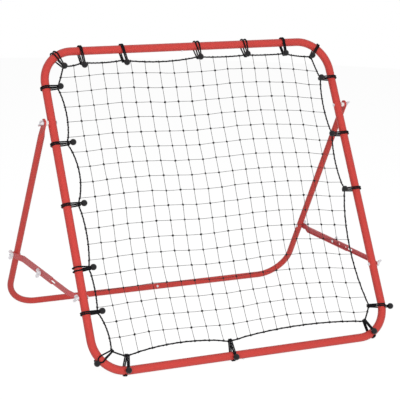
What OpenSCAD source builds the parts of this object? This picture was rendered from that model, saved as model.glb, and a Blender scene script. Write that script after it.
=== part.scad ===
// Pitch back rebounder: a square tube frame with a ball net held in it by
// ball bungees, a U-shaped rear leg, and a telescopic strut on each side.
// Millimetres, +Z up, the net faces -Y. The origin is on the ground under
// the middle of the whole stand.

/* [Net frame] */
// Outside width of the square frame
frame_w = 1000; // [900:10:1200]
// Outside height of the square frame, along the frame
frame_h = 1000; // [900:10:1200]
// Outside diameter of the frame tube
frame_tube_d = 25; // [22:0.5:28]
// Wall of both tubes
tube_wall = 1.5; // [1:0.1:2]
// Radius of the frame's corner bends, at the tube's centre line
frame_bend_r = 100; // [80:5:140]
// Lean of the frame from upright, in degrees
frame_lean = 29.5; // [24:0.5:34]
// Length of the swaged end that joins two tube halves
spigot_len = 45; // [30:1:60]

/* [Rear leg] */
// Outside diameter of the leg tube
leg_tube_d = 20; // [18:0.5:22]
// Length of the leg from its pivot to the foot bar's centre line
leg_len = 752; // [735:1:765]
// Radius of the leg's corner bends, at the tube's centre line
leg_bend_r = 100; // [60:5:140]
// Gap between the side of the frame tube and the side of the leg tube
leg_side_gap = 2.3; // [1.5:0.1:4]
// Thickness of the leg's flattened top ends
tab_t = 4; // [3:0.1:5]
// Width of the leg's flattened top ends
tab_w = 27; // [24:0.5:30]
// Height of the pivot above the bottom bar, along the frame
pivot_s = 755; // [740:1:770]

/* [Struts] */
// Distance from the pivot to each end of a strut
arm = 530; // [510:1:550]
// Sheet thickness of both strut halves
strut_t = 1.6; // [1.2:0.1:2]
// Height of the outer, rear half
rear_half_h = 19; // [18:0.5:22]
// Depth of the rear half's flanges
rear_flange = 5.8; // [5.6:0.1:7]
// Length of the rear half from its bolt to its open end
rear_half_len = 320; // [300:5:330]
// Distance from the leg bolt to the bolt that locks the halves
mid_bolt_at = 225; // [210:1:240]
// Length of the front half past the bolt that locks the halves
front_half_past = 74.5; // [70:0.5:84]
// Depth of the front half's flanges
front_flange = 4.4; // [4:0.1:5]
// Distance between two setting holes
hole_pitch = 40; // [36:1:42]
// Length of the bend that carries a half from its tab to the nested run
joggle_len = 40; // [34:1:42]
// Length of the flat tab on each side of a strut's end bolt
tab_reach = 22; // [20:1:24]

/* [Fasteners] */
// Shank diameter of the bolts
bolt_d = 6; // [5:0.5:7]
// Diameter of a bolt head
bolt_head_d = 11; // [10:0.5:12]
// Thickness of a bolt head
bolt_head_h = 3.4; // [3:0.1:4]
// Height of a wing nut's hub
nut_h = 9; // [8:0.5:11]
// Diameter of a wing nut's hub
nut_hub_d = 11; // [10:0.5:12]
// Distance from a wing nut's axis to the centre of a wing's round tip
wing_reach = 11.4; // [10:0.2:13]
// Radius of a wing's round tip
wing_tip_r = 4.8; // [4:0.2:5.4]
// Thickness of a wing
wing_t = 2.6; // [2:0.2:3.4]
// Head diameter of the screws that lock the tube joints
joint_screw_d = 8; // [6:0.5:10]

/* [Net and cords] */
// Number of twines in the net, each way
twine_count = 18; // [10:1:18]
// Distance between twines
twine_pitch = 46.5; // [44:0.5:47]
// Height of the lowest cross twine above the bottom bar
first_row_s = 98; // [94:1:110]
// Diameter of the net twine
twine_d = 1.6; // [1.2:0.1:2.4]
// Diameter of the border rope
rope_d = 4; // [3.5:0.5:6]
// Diameter of a bungee cord
cord_d = 4.2; // [3.6:0.2:4.6]
// Space between the two strands of a bungee where they lie side by side
strand_space = 1.2; // [0.8:0.1:2]
// Space between the strands of a bungee that stands open
open_space = 6.5; // [4:0.5:7]
// Diameter of a bungee ball
ball_d = 19.5; // [18:0.5:22]

/* [Clearances] */
// Radial clearance where a piece turns on a bolt
turn_clear = 0.05; // [0.02:0.01:0.1]
// Radial clearance of a bolt in a piece that it only clamps
hole_clear = 0.1; // [0.1:0.05:0.3]
// Gap between faces that lie on each other
face_gap = 0.2; // [0.1:0.05:0.4]
// Gap round a cord, a rope or a ball
soft_gap = 0.3; // [0.2:0.05:0.5]

/* [Hidden] */
$fn = 48;

// Radii and centre lines
frame_r = frame_tube_d / 2;
leg_r = leg_tube_d / 2;
frame_x = frame_w / 2 - frame_r;
frame_top_s = frame_h - frame_tube_d;
leg_x = frame_w / 2 + leg_side_gap + leg_r;
bolt_r = bolt_d / 2;
cord_r = cord_d / 2;
rope_r = rope_d / 2;
ball_r = ball_d / 2;

// A bungee lies on the tube at cord_path_r, and a ball that lies on the tube
// has its centre at ball_path_r. At the rope the strands come together.
cord_path_r = frame_r + soft_gap + cord_r;
hook_strand_gap = cord_d + 2 * soft_gap;
ball_path_r = frame_r + soft_gap + ball_r;

// The bottom bar stands on its bungee cords, and the foot bar on the ground
frame_z = cord_path_r + cord_r;
pivot_y = pivot_s * sin(frame_lean);
pivot_z = frame_z + pivot_s * cos(frame_lean);
leg_lean = acos((pivot_z - leg_r) / leg_len);
frame_bolt_s = pivot_s - arm;
frame_bolt_y = frame_bolt_s * sin(frame_lean);
frame_bolt_z = frame_z + frame_bolt_s * cos(frame_lean);
leg_bolt_y = pivot_y + arm * sin(leg_lean);
leg_bolt_z = pivot_z - arm * cos(leg_lean);
strut_len = norm([leg_bolt_y - frame_bolt_y, leg_bolt_z - frame_bolt_z]);
strut_slope = atan2(leg_bolt_z - frame_bolt_z, leg_bolt_y - frame_bolt_y);

// Distances from the stand's middle plane out to each face, along X
frame_face = frame_w / 2;
leg_face = leg_x + leg_r;
frame_tab_in = frame_face + face_gap;
leg_tab_in = leg_face + face_gap;
nest_x = (frame_tab_in + leg_tab_in) / 2;
front_web_in = nest_x;
front_web_out = front_web_in + strut_t;
rear_web_in = front_web_out + face_gap;
rear_web_out = rear_web_in + strut_t;
front_half_h = rear_half_h - 2 * strut_t - 2 * face_gap;
mid_bolt_b = strut_len - mid_bolt_at;
front_half_len = mid_bolt_b + front_half_past;
setting_count = 4;
slot_half = bolt_r + soft_gap;

// The straight runs between the frame's bends, across and up
run_across = 2 * (frame_x - frame_bend_r);
run_up = frame_top_s - 2 * frame_bend_r;

// Bungees on straight bars: where each stands, as a share of the straight run
// from its left or lower end, and how far its hook on the border rope is from
// the bar's centre line
top_at = [0.0355, 0.2105, 0.5370, 0.7520, 0.9310];
left_at = [0.7574, 0.5161, 0.2684, 0.1006];
right_at = [0.7187, 0.4800];
bottom_at = 0.4303;
top_hook = 38;
left_hook = 36;
right_hook = 43;
bottom_hook = 44;
// The highest bungee of each side stands above the pivot: as a share of the
// way from the pivot's pieces up to the bend
left_high_at = 0.88;
right_high_at = 0.768;
// How far past the hook each of their balls lies, towards the net
top_past = [11, 9, 0, -1, 2];
left_past = [6, 11, 12, 7, 10];
right_past = [3, 6, 4];
// Bungees on the bends, as angles about the bend's centre
top_left_turn = 122;
top_right_turn = 50;
bottom_left_turn = 216;
bottom_left_run_turn = 262.8;
bottom_right_turn = -66;
low_right_turn = -5.7;
corner_hook = 36;
corner_past = 3;
low_corner_hook = 42;
low_right_hook = 46;
// Slack of a bungee where it hooks the rope: on a run, and where it turns
hook_slack = 1.5;
corner_slack = 3;
// Where a ball lies round the tube, from the inward direction to the front
front_ball_turn = 112;
outer_ball_turn = 150;
near_ball_turn = 84;
// Where a strand leaves the back of the tube for the rope
leave_turn = 278;
// How far a ball beside the rope lies in front of the net
ball_lift = rope_r + 2 * soft_gap + ball_r;
// The rope's sag between two hooks, as a share of their distance, is this
// times that distance as a share of the frame's width
rope_sag = 0.19;
bottom_sag = 0.075;
rope_steps = 5;

// The stand is moved along Y so that its middle is over the origin
front_y = -ball_path_r * sin(front_ball_turn - frame_lean) - ball_r;
back_y = pivot_y + leg_len * sin(leg_lean) + leg_r;
shift_y = -(front_y + back_y) / 2;

// Colours
red = [0.80, 0.16, 0.15];
pale_red = [0.72, 0.30, 0.32];
zinc = [0.86, 0.86, 0.88];
black = [0.08, 0.08, 0.09];
twine_grey = [0.35, 0.35, 0.36];
nylon = [0.92, 0.91, 0.90];

// ---- Places ---------------------------------------------------------------

// The frame is drawn upright with its bottom bar's centre line on the X axis
module in_frame() {
  translate([0, shift_y, frame_z]) rotate([-frame_lean, 0, 0]) children();
}

// The leg is drawn hanging from its pivot
module on_leg() {
  translate([0, shift_y + pivot_y, pivot_z]) rotate([leg_lean, 0, 0]) children();
}

// A strut is drawn from the frame bolt, along +Y
module on_strut() {
  translate([0, shift_y + frame_bolt_y, frame_bolt_z]) rotate([strut_slope, 0, 0]) children();
}

// Right-hand pieces are drawn, and the left-hand ones are their mirror image
module on_side(side) {
  if (side < 0) mirror([1, 0, 0]) children();
  else children();
}

module along_x(from_x) {
  translate([from_x, 0, 0]) rotate([0, 90, 0]) children();
}

// ---- Tubes ----------------------------------------------------------------

// A quarter bend from +X to +Z about the origin, in the XZ plane
module bend(path_r, r) {
  rotate([90, 0, 0]) rotate_extrude(angle = 90) translate([path_r, 0]) circle(r);
}

// The right half of the frame as a solid rod of radius r
module frame_rod(r, end_x) {
  bend_x = frame_x - frame_bend_r;
  top_z = frame_top_s - frame_bend_r;
  for (bar_z = [0, frame_top_s])
    translate([0, 0, bar_z]) along_x(end_x) cylinder(r = r, h = bend_x - end_x);
  translate([frame_x, 0, frame_bend_r]) cylinder(r = r, h = top_z - frame_bend_r);
  translate([bend_x, 0, top_z]) bend(frame_bend_r, r);
  translate([bend_x, 0, frame_bend_r]) mirror([0, 0, 1]) bend(frame_bend_r, r);
}

// The swaged end of a tube of radius tube_r, which fills the next tube's bore.
// The wall stays whole through a short shoulder behind it.
shoulder_len = 5;

function spigot_r(tube_r) = tube_r - tube_wall - soft_gap;

module spigot(tube_r) {
  along_x(-spigot_len) cylinder(r = spigot_r(tube_r), h = spigot_len + 1);
}

module spigot_bore(tube_r) {
  along_x(-spigot_len - 1)
    cylinder(r = spigot_r(tube_r) - tube_wall, h = spigot_len + shoulder_len + 2);
}

// Both halves end at the middle of the top and bottom bars. The right one
// ends in swaged spigots, which fill the left one's open ends.
module frame_half(side) {
  difference() {
    union() {
      frame_rod(frame_r, 0);
      if (side > 0)
        for (bar_z = [0, frame_top_s]) translate([0, 0, bar_z]) spigot(frame_r);
    }
    frame_rod(frame_r - tube_wall, side > 0 ? shoulder_len : -1);
    if (side > 0)
      for (bar_z = [0, frame_top_s]) translate([0, 0, bar_z]) spigot_bore(frame_r);
    for (bolt_s = [frame_bolt_s, pivot_s])
      translate([0, 0, bolt_s]) along_x(frame_x - frame_r - 1)
        cylinder(r = bolt_r + hole_clear, h = frame_tube_d + 2);
    for (bar_z = [0, frame_top_s])
      translate([-side * spigot_len / 2, 0, bar_z]) rotate([90, 0, 0]) joint_screw_hole(frame_r);
  }
}

module frame_half_left() {
  color(red) in_frame() on_side(-1) frame_half(-1);
}

module frame_half_right() {
  color(red) in_frame() frame_half(1);
}

joint_screw_r = joint_screw_d / 4;
// The foot bar's screw faces the net, turned up this far from the leg's plane
leg_screw_turn = 45;

module joint_screw_hole(tube_r) {
  rotate([90, 0, 0]) cylinder(r = joint_screw_r + hole_clear, h = tube_r + 2);
}

// A screw with a low round head on the -Y side of a tube of radius tube_r
module joint_screw(tube_r) {
  head_h = joint_screw_d * 0.3;
  rotate([90, 0, 0]) {
    translate([0, 0, tube_r - 5 * tube_wall]) cylinder(r = joint_screw_r, h = 5 * tube_wall + 1);
    translate([0, 0, tube_r + face_gap]) rotate_extrude()
      intersection() {
        square([joint_screw_d / 2, head_h]);
        translate([0, head_h - joint_screw_d * 0.65]) circle(joint_screw_d * 0.65);
      }
  }
}

module frame_joint_screws() {
  color(zinc) in_frame()
    for (bar_z = [0, frame_top_s])
      translate([-spigot_len / 2, 0, bar_z]) rotate([90, 0, 0]) joint_screw(frame_r);
}

// ---- Rear leg -------------------------------------------------------------

// The flat runs on below its round end, and then flares into the tube
flat_len = 6;
flare_len = 30;
tab_r = tab_w / 2;
tab_from = tab_r + flat_len;
flare_to = tab_from + flare_len;

// The right half of the leg as a solid rod of radius r, below its flare
module leg_rod(r, end_x) {
  bend_x = leg_x - leg_bend_r;
  translate([0, 0, -leg_len]) along_x(end_x) cylinder(r = r, h = bend_x - end_x);
  translate([bend_x, 0, leg_bend_r - leg_len]) mirror([0, 0, 1]) bend(leg_bend_r, r);
  translate([leg_x, 0, leg_bend_r - leg_len]) cylinder(r = r, h = leg_len - leg_bend_r - flare_to);
}

// The flattened end, with the flare that leads into the round tube
module leg_tab() {
  along_x(leg_x - tab_t / 2) cylinder(r = tab_r, h = tab_t);
  translate([leg_x - tab_t / 2, -tab_r, -tab_from]) cube([tab_t, tab_w, tab_from]);
  hull() {
    translate([leg_x - tab_t / 2, -tab_r, -tab_from]) cube([tab_t, tab_w, 0.1]);
    translate([leg_x, 0, -flare_to]) cylinder(r = leg_r, h = 0.1, $fn = 32);
  }
}

// Both halves end at the middle of the foot bar. The left one ends in a
// swaged spigot, which fills the right one's open end.
module leg_half(side) {
  difference() {
    union() {
      leg_rod(leg_r, 0);
      leg_tab();
      if (side < 0) translate([0, 0, -leg_len]) spigot(leg_r);
    }
    leg_rod(leg_r - tube_wall, side < 0 ? shoulder_len : -1);
    if (side < 0) translate([0, 0, -leg_len]) spigot_bore(leg_r);
    along_x(leg_x - tab_t) cylinder(r = bolt_r + turn_clear, h = 2 * tab_t);
    translate([0, 0, -arm]) along_x(leg_x - leg_r - 1)
      cylinder(r = bolt_r + hole_clear, h = leg_tube_d + 2);
    translate([side * spigot_len / 2, 0, -leg_len])
      rotate([-leg_screw_turn, 0, 0]) joint_screw_hole(leg_r);
  }
}

module leg_half_left() {
  color(red) on_leg() on_side(-1) leg_half(-1);
}

module leg_half_right() {
  color(red) on_leg() leg_half(1);
}

module leg_joint_screw() {
  color(zinc) on_leg() translate([spigot_len / 2, 0, -leg_len])
    rotate([-leg_screw_turn, 0, 0]) joint_screw(leg_r);
}

// ---- Struts ---------------------------------------------------------------

// Seen from the side: a bar of height h from y = 0 to y = reach, round at 0
module bar_outline(reach, h) {
  circle(h / 2);
  translate([0, -h / 2]) square([reach, h]);
}

// A pressed channel with a flat tab. In plan its web runs out at tab_in over
// the tab, comes across by a joggle, and runs on at web_in.
module pressed_half(reach, h, tab_in, web_in, flange) {
  bend_end = tab_reach + joggle_len;
  inside = web_in - flange;
  intersection() {
    rotate([90, 0, 90]) linear_extrude(frame_w) bar_outline(reach, h);
    difference() {
      translate([0, 0, -h / 2]) linear_extrude(h) polygon([
        [tab_in + strut_t, -h], [tab_in + strut_t, tab_reach],
        [web_in + strut_t, bend_end], [web_in + strut_t, reach],
        [inside, reach], [inside, bend_end],
        [tab_in, tab_reach], [tab_in, -h]
      ]);
      translate([0, 0, strut_t - h / 2]) linear_extrude(h - 2 * strut_t) polygon([
        [tab_in, tab_reach], [web_in, bend_end], [web_in, reach + 1],
        [inside - h, reach + 1], [inside - h, tab_reach]
      ]);
    }
  }
}

// The front half's locking holes run together where the bolt travels
module strut_front() {
  last_hole = mid_bolt_b + hole_pitch;
  slot_from = mid_bolt_b - (setting_count - 1) * hole_pitch;
  difference() {
    pressed_half(front_half_len, front_half_h, frame_tab_in, front_web_in, front_flange);
    along_x(frame_face - 1) cylinder(r = bolt_r + turn_clear, h = strut_t + 3);
    translate([0, last_hole, 0]) along_x(front_web_in - 1)
      cylinder(r = bolt_r + hole_clear, h = strut_t + 2);
    for (slot_end = [slot_from, mid_bolt_b])
      translate([0, slot_end, 0]) along_x(front_web_in - 1)
        cylinder(r = slot_half, h = strut_t + 2);
    translate([front_web_in - 1, slot_from, -slot_half])
      cube([strut_t + 2, mid_bolt_b - slot_from, 2 * slot_half]);
  }
}

// The rear half is drawn from the leg bolt towards the frame
module strut_rear() {
  difference() {
    pressed_half(rear_half_len, rear_half_h, leg_tab_in, rear_web_in, rear_flange);
    along_x(leg_face - 1) cylinder(r = bolt_r + turn_clear, h = strut_t + 3);
    for (k = [-1, 0, 1, 2])
      translate([0, mid_bolt_at + k * hole_pitch, 0]) along_x(rear_web_in - 1)
        cylinder(r = bolt_r + hole_clear, h = strut_t + 2);
  }
}

module strut_front_left() {
  color(pale_red) on_strut() on_side(-1) strut_front();
}

module strut_front_right() {
  color(pale_red) on_strut() strut_front();
}

module from_leg_bolt() {
  translate([0, strut_len, 0]) mirror([0, 1, 0]) children();
}

module strut_rear_left() {
  color(pale_red) on_strut() on_side(-1) from_leg_bolt() strut_rear();
}

module strut_rear_right() {
  color(pale_red) on_strut() from_leg_bolt() strut_rear();
}

// ---- Bolts and nuts -------------------------------------------------------

// A round-headed bolt along X. Its head sits against head_x, on the inside.
module bolt(head_x, nut_x) {
  shank = nut_x - head_x + nut_h + bolt_r;
  dome_r = bolt_head_d * 0.7;
  along_x(head_x) rotate_extrude() {
    square([bolt_r, shank]);
    translate([0, -bolt_head_h]) intersection() {
      square([bolt_head_d / 2, bolt_head_h]);
      translate([0, dome_r]) circle(dome_r);
    }
  }
}

// One wing: distances from the nut's axis, and along it from the nut's base
module wing() {
  tip_h = nut_h + 0.6;
  translate([0, wing_t / 2, 0]) rotate([90, 0, 0]) linear_extrude(wing_t) {
    translate([wing_reach, tip_h]) circle(wing_tip_r);
    polygon([
      [bolt_r + 1, 1], [nut_hub_d / 2, 1],
      [wing_reach + wing_tip_r * 0.71, tip_h - wing_tip_r * 0.71],
      [wing_reach - wing_tip_r * 0.71, tip_h + wing_tip_r * 0.71],
      [bolt_r + 1, nut_h - 1]
    ]);
  }
}

module wing_nut(base_x, turn) {
  along_x(base_x) rotate([0, 0, turn]) difference() {
    union() {
      cylinder(r1 = nut_hub_d / 2 + 1.5, r2 = nut_hub_d / 2 - 0.5, h = nut_h);
      wing();
      rotate([0, 0, 180]) wing();
    }
    translate([0, 0, -1]) cylinder(r = bolt_r + turn_clear, h = 2 * nut_h);
  }
}

// How each wing nut was left turned on its bolt
pivot_nut_turn = 20;
frame_nut_turn = 35;
leg_nut_turn = 5;
mid_nut_turn = 15;

frame_head_x = frame_x - frame_r - face_gap;
pivot_nut_x = leg_x + tab_t / 2 + face_gap;
frame_nut_x = frame_tab_in + strut_t + face_gap;
leg_nut_x = leg_tab_in + strut_t + face_gap;
mid_nut_x = rear_web_out + face_gap;

module pivot_bolt(side) {
  color(zinc) on_leg() on_side(side) bolt(frame_head_x, pivot_nut_x);
}

module frame_strut_bolt(side) {
  color(zinc) on_strut() on_side(side) bolt(frame_head_x, frame_nut_x);
}

module leg_strut_bolt(side) {
  color(zinc) on_strut() translate([0, strut_len, 0]) on_side(side)
    bolt(leg_x - leg_r - face_gap, leg_nut_x);
}

module strut_mid_bolt(side) {
  color(zinc) on_strut() translate([0, mid_bolt_b, 0]) on_side(side)
    bolt(front_web_in - face_gap, mid_nut_x);
}

module wing_nut_pivot(side) {
  color(zinc) on_leg() on_side(side) wing_nut(pivot_nut_x, pivot_nut_turn);
}

module wing_nut_frame(side) {
  color(zinc) on_strut() on_side(side) wing_nut(frame_nut_x, frame_nut_turn);
}

module wing_nut_leg(side) {
  color(zinc) on_strut() translate([0, strut_len, 0]) on_side(side)
    wing_nut(leg_nut_x, leg_nut_turn);
}

module wing_nut_mid(side) {
  color(zinc) on_strut() translate([0, mid_bolt_b, 0]) on_side(side)
    wing_nut(mid_nut_x, mid_nut_turn);
}

spacer_r = bolt_d * 1.2;

module pivot_spacer(side) {
  spacer_from = frame_face + face_gap / 2;
  spacer_to = leg_x - tab_t / 2 - face_gap;
  color(nylon) on_leg() on_side(side) along_x(spacer_from) difference() {
    cylinder(r = spacer_r, h = spacer_to - spacer_from);
    translate([0, 0, -1]) cylinder(r = bolt_r + hole_clear, h = spacer_to - spacer_from + 2);
  }
}

// ---- Swept cords ----------------------------------------------------------

function unit(v) = v / norm(v);

// The direction of the path at point i, from its neighbours
function heading(path, i, closed) =
  let (n = len(path))
  closed
    ? unit(path[(i + 1) % n] - path[(i + n - 1) % n])
    : unit(path[min(i + 1, n - 1)] - path[max(i - 1, 0)]);

// A side direction square to each heading, carried along the path
function carried(path, first, closed) = [
  for (i = 0, s = unit(first - (first * heading(path, 0, closed)) * heading(path, 0, closed));
       i < len(path);
       i = i + 1,
       s = i < len(path)
         ? let (h = heading(path, i, closed)) unit(s - (s * h) * h)
         : s)
    s
];

// A tube of radius r along the path, with flat ends or closed on itself
module cord(path, r, sides, first, closed = false) {
  n = len(path);
  across = carried(path, first, closed);
  points = [
    for (i = [0:n - 1])
      let (h = heading(path, i, closed), a = across[i], b = cross(h, a))
      for (k = [0:sides - 1])
        path[i] + r * (cos(360 * k / sides) * a + sin(360 * k / sides) * b)
  ];
  skin = [
    for (i = [0:n - (closed ? 1 : 2)])
      for (k = [0:sides - 1])
        let (
          p = i * sides + k,
          q = i * sides + (k + 1) % sides,
          u = ((i + 1) % n) * sides + k,
          v = ((i + 1) % n) * sides + (k + 1) % sides
        )
        each [[p, q, v], [p, v, u]]
  ];
  caps = closed ? [] : [
    for (k = [1:sides - 2]) each [
      [0, k + 1, k],
      [(n - 1) * sides, (n - 1) * sides + k, (n - 1) * sides + k + 1]
    ]
  ];
  polyhedron(points, [for (f = concat(skin, caps)) [f[2], f[1], f[0]]]);
}

// ---- Bungees --------------------------------------------------------------

// A bungee is worked out square to its tube: x is inwards from the tube's
// centre line to the rope, y is to the front of the frame, and the third
// number is half the distance between the strands there.
function on_tube(turn, space) =
  [cord_path_r * cos(turn), cord_path_r * sin(turn), (cord_d + space) / 2];

function on_rope(hook, slack, turn) =
  let (r = rope_r + slack + cord_r)
  [hook + r * cos(turn), r * sin(turn), hook_strand_gap / 2];

// One strand of a bungee whose ball lies beside the rope, from the ball
// over the front of the tube, round its back and up inside the rope
function strand_by_rope(hook, slack, space, past) = concat(
  [[hook + past - ball_r - soft_gap, ball_lift, hook_strand_gap / 2]],
  [for (turn = [90:24:258]) on_tube(turn, space)],
  [on_tube(leave_turn, space)],
  [for (turn = [-105:30:-15]) on_rope(hook, slack, turn)]
);

// One strand of a bungee whose ball lies on the tube, from the ball over
// the front to the rope, round it, and back behind the tube to the ball
function strand_on_tube(hook, slack, space, ball_turn) = concat(
  [for (turn = [ball_turn - 36:-18:76]) on_tube(turn, space)],
  [for (turn = [90:-30:-90]) on_rope(hook, slack, turn)],
  [for (turn = [-78:-24:ball_turn - 316]) on_tube(turn, space)]
);

// Both strands as one path: out on one side, across, and back on the other
function bungee_path(strand) =
  let (last = strand[len(strand) - 1])
  concat(
    [for (p = strand) [p[0], p[1], -p[2]]],
    [[last[0], last[1], 0]],
    [for (i = [len(strand) - 1:-1:0]) strand[i]]
  );

// Puts x inwards, y to the front and z along the bar, at a place in the frame.
// inward is the direction towards the net, in degrees from +X up.
module at_bar(x, s, inward) {
  in_frame() translate([x, 0, s]) rotate([0, -inward, 0]) rotate([180, 0, 0]) children();
}

module bungee(x, s, inward, hook, ball_turn, slack, space, past) {
  strand = ball_turn == 0
    ? strand_by_rope(hook, slack, space, past)
    : strand_on_tube(hook, slack, space, ball_turn);
  color(black) at_bar(x, s, inward) cord(bungee_path(strand), cord_r, 6, [0, 1, 0.01]);
}

module bungee_ball(x, s, inward, hook, ball_turn, past) {
  place = ball_turn == 0
    ? [hook + past, ball_lift, 0]
    : [ball_path_r * cos(ball_turn), ball_path_r * sin(ball_turn), 0];
  color(black) at_bar(x, s, inward) translate(place) sphere(ball_r);
}

// A place on a bend: across is -1 or 1 for the side, up is -1 or 1
function bend_x(across, turn) = across * (frame_x - frame_bend_r) + frame_bend_r * cos(turn);
function bend_s(up, turn) =
  (up > 0 ? frame_top_s - frame_bend_r : frame_bend_r) + frame_bend_r * sin(turn);

// Every bungee as [x, s, inward, hook, ball_turn, slack, space, past]
function on_bend(across, up, turn, hook, ball_turn, space, past) = [
  bend_x(across, turn), bend_s(up, turn), turn + 180,
  hook, ball_turn, corner_slack, space, past
];
function run_x(share) = (share - 0.5) * run_across;
function run_s(share) = frame_bend_r + share * run_up;
function high_s(share) =
  let (room = spacer_r + cord_d + strand_space / 2 + soft_gap)
  pivot_s + room + share * (frame_top_s - frame_bend_r - pivot_s - room);
left_s = concat([high_s(left_high_at)], [for (at = left_at) run_s(at)]);
right_s = concat([high_s(right_high_at)], [for (at = right_at) run_s(at)]);

// Two of those on the runs stand open: the fourth of the top and of the left
function space_of(i) = i == 3 ? open_space : strand_space;

top_corners = [
  on_bend(-1, 1, top_left_turn, corner_hook, 0, open_space, corner_past),
  on_bend(1, 1, top_right_turn, corner_hook, 0, strand_space, corner_past)
];
top_bungees = [
  for (i = [0:len(top_at) - 1])
    [run_x(top_at[i]), frame_top_s, -90, top_hook, 0, hook_slack, space_of(i), top_past[i]]
];
left_bungees = [
  for (i = [0:len(left_s) - 1])
    [-frame_x, left_s[i], 0, left_hook, 0, hook_slack, space_of(i), left_past[i]]
];
right_bungees = concat(
  [
    for (i = [0:len(right_s) - 1])
      [frame_x, right_s[i], 180, right_hook, 0, hook_slack, strand_space, right_past[i]]
  ],
  [on_bend(1, -1, low_right_turn, low_right_hook, outer_ball_turn, strand_space, 0)]
);
bottom_bungees = [
  on_bend(-1, -1, bottom_left_run_turn, bottom_hook, front_ball_turn, strand_space, 0),
  [run_x(bottom_at), 0, 90, bottom_hook, front_ball_turn, hook_slack, strand_space, 0]
];
low_corners = [
  on_bend(-1, -1, bottom_left_turn, low_corner_hook, outer_ball_turn, strand_space, 0),
  on_bend(1, -1, bottom_right_turn, low_corner_hook, near_ball_turn, strand_space, 0)
];

module bungee_from(b) {
  bungee(b[0], b[1], b[2], b[3], b[4], b[5], b[6], b[7]);
}

module balls_from(list) {
  for (b = list) bungee_ball(b[0], b[1], b[2], b[3], b[4], b[7]);
}

// ---- Net ------------------------------------------------------------------

// Where a bungee holds the rope, in the frame's plane as [x, s]
function hook_point(b) = [b[0] + b[3] * cos(b[2]), b[1] + b[3] * sin(b[2])];

// The bungees in order round the net
round_the_net = concat(
  [top_corners[0]], top_bungees, [top_corners[1]],
  right_bungees, [low_corners[1]],
  [bottom_bungees[1], bottom_bungees[0]], [low_corners[0]],
  [for (i = [len(left_bungees) - 1:-1:0]) left_bungees[i]]
);

hooks = [for (b = round_the_net) hook_point(b)];

// Between two hooks the rope is drawn inwards by the net, in a shallow bow
function rope_span(a, b) =
  let (
    run = b - a,
    inward = [run[1], -run[0]] / norm(run),
    sag = max(a[1], b[1]) < frame_bend_r ? bottom_sag : rope_sag
  )
  [for (k = [0:rope_steps - 1])
    let (t = k / rope_steps)
    a + t * run + inward * (4 * t * (1 - t) * sag * norm(run) * norm(run) / frame_w)];

rope_line = [
  for (i = [0:len(hooks) - 1]) each rope_span(hooks[i], hooks[(i + 1) % len(hooks)])
];

module border_rope() {
  color(black) in_frame() cord([for (p = rope_line) [p[0], 0, p[1]]], rope_r, 6, [0, 1, 0], true);
}

// The net's edge lies just inside the rope
function edge_point(i) =
  let (
    n = len(rope_line),
    run = rope_line[(i + 1) % n] - rope_line[(i + n - 1) % n],
    inward = [run[1], -run[0]] / norm(run)
  )
  rope_line[i] + inward * (rope_r + soft_gap);

// Where a bungee takes hold of the rope, a twine stops short of its strands
module hook_room(b) {
  room = hook_strand_gap + cord_d + 2 * soft_gap;
  point = hook_point(b);
  translate(point) rotate(b[2]) translate([0, -room / 2])
    square([rope_r + b[5] + cord_d + soft_gap, room]);
}

module net() {
  span = (twine_count - 1) * twine_pitch;
  color(twine_grey) in_frame() translate([0, twine_d / 2, 0]) rotate([90, 0, 0])
    linear_extrude(twine_d) difference() {
      intersection() {
        polygon([for (i = [0:len(rope_line) - 1]) edge_point(i)]);
        union() {
          for (k = [0:twine_count - 1]) {
            translate([k * twine_pitch - (span + twine_d) / 2, 0]) square([twine_d, frame_h]);
            translate([-frame_w / 2, first_row_s + k * twine_pitch - twine_d / 2])
              square([frame_w, twine_d]);
          }
        }
      }
      for (b = round_the_net) hook_room(b);
    }
}

// ---- Output ---------------------------------------------------------------

frame_half_left();
frame_half_right();
frame_joint_screws();
net();
border_rope();
bungee_from(top_corners[0]);  // bungee_top_left_corner
bungee_from(top_bungees[0]);  // bungee_top_1
bungee_from(top_bungees[1]);  // bungee_top_2
bungee_from(top_bungees[2]);  // bungee_top_3
bungee_from(top_bungees[3]);  // bungee_top_4
bungee_from(top_bungees[4]);  // bungee_top_5
bungee_from(top_corners[1]);  // bungee_top_right_corner
bungee_from(left_bungees[0]);  // bungee_left_1
bungee_from(left_bungees[1]);  // bungee_left_2
bungee_from(left_bungees[2]);  // bungee_left_3
bungee_from(left_bungees[3]);  // bungee_left_4
bungee_from(left_bungees[4]);  // bungee_left_5
bungee_from(low_corners[0]);  // bungee_bottom_left_corner
bungee_from(bottom_bungees[0]);  // bungee_bottom_1
bungee_from(bottom_bungees[1]);  // bungee_bottom_2
bungee_from(low_corners[1]);  // bungee_bottom_right_corner
bungee_from(right_bungees[0]);  // bungee_right_1
bungee_from(right_bungees[1]);  // bungee_right_2
bungee_from(right_bungees[2]);  // bungee_right_3
bungee_from(right_bungees[3]);  // bungee_right_4
balls_from(concat(top_bungees, top_corners));  // bungee_balls_top
balls_from(left_bungees);  // bungee_balls_left
balls_from(concat(bottom_bungees, low_corners));  // bungee_balls_bottom
balls_from(right_bungees);  // bungee_balls_right
pivot_bolt(-1);  // pivot_bolt_left
pivot_bolt(1);  // pivot_bolt_right
pivot_spacer(-1);  // pivot_spacer_left
pivot_spacer(1);  // pivot_spacer_right
frame_strut_bolt(-1);  // frame_strut_bolt_left
frame_strut_bolt(1);  // frame_strut_bolt_right
leg_half_left();
leg_half_right();
leg_joint_screw();
leg_strut_bolt(-1);  // leg_strut_bolt_left
leg_strut_bolt(1);  // leg_strut_bolt_right
strut_front_left();
strut_front_right();
strut_rear_left();
strut_rear_right();
strut_mid_bolt(-1);  // strut_mid_bolt_left
strut_mid_bolt(1);  // strut_mid_bolt_right
wing_nut_pivot(-1);  // wing_nut_pivot_left
wing_nut_pivot(1);  // wing_nut_pivot_right
wing_nut_frame(-1);  // wing_nut_frame_left
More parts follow.
